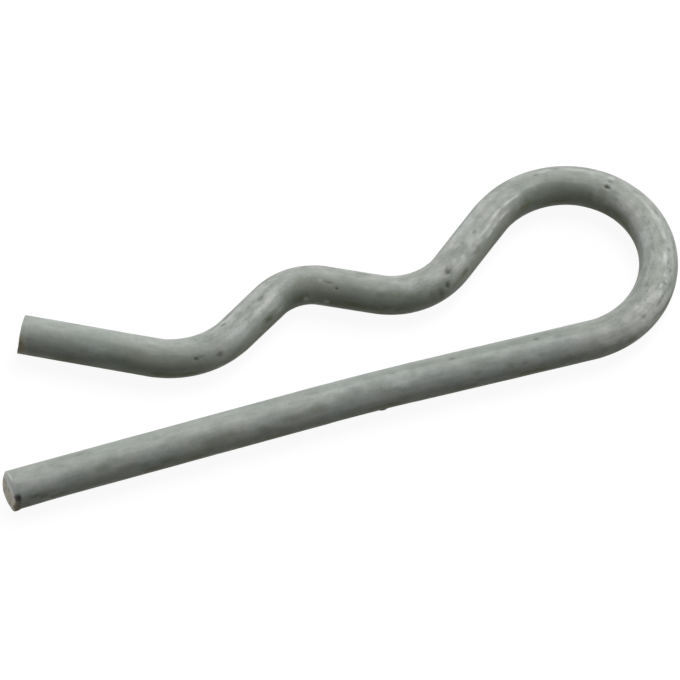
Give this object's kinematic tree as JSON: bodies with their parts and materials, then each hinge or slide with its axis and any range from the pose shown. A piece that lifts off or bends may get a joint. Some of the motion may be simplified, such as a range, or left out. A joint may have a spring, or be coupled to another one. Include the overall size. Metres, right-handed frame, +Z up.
{
  "type": "hitch r clip pin",
  "caption": "R-shaped clip pin bent from round steel wire: the straight leg passes through a hitch pin's cross hole and the wavy leg springs over the pin to hold it.",
  "frame": {"origin": "on the floor, under the middle of the whole outline, as the clip lies flat", "axes": "+X along the straight leg from its cut end towards the loop, +Y from the straight leg towards the wavy leg, +Z up, square to the plane that the wire is bent in"},
  "size_m": [0.0732, 0.0228, 0.004],
  "materials": {
    "wire": "matt grey zinc plate over cold-drawn spring wire, faintly mottled, with dark pits and light scuffs"
  },
  "bodies": {
    "root": {"clip_wire": "wire"}
  },
  "joints": []
}
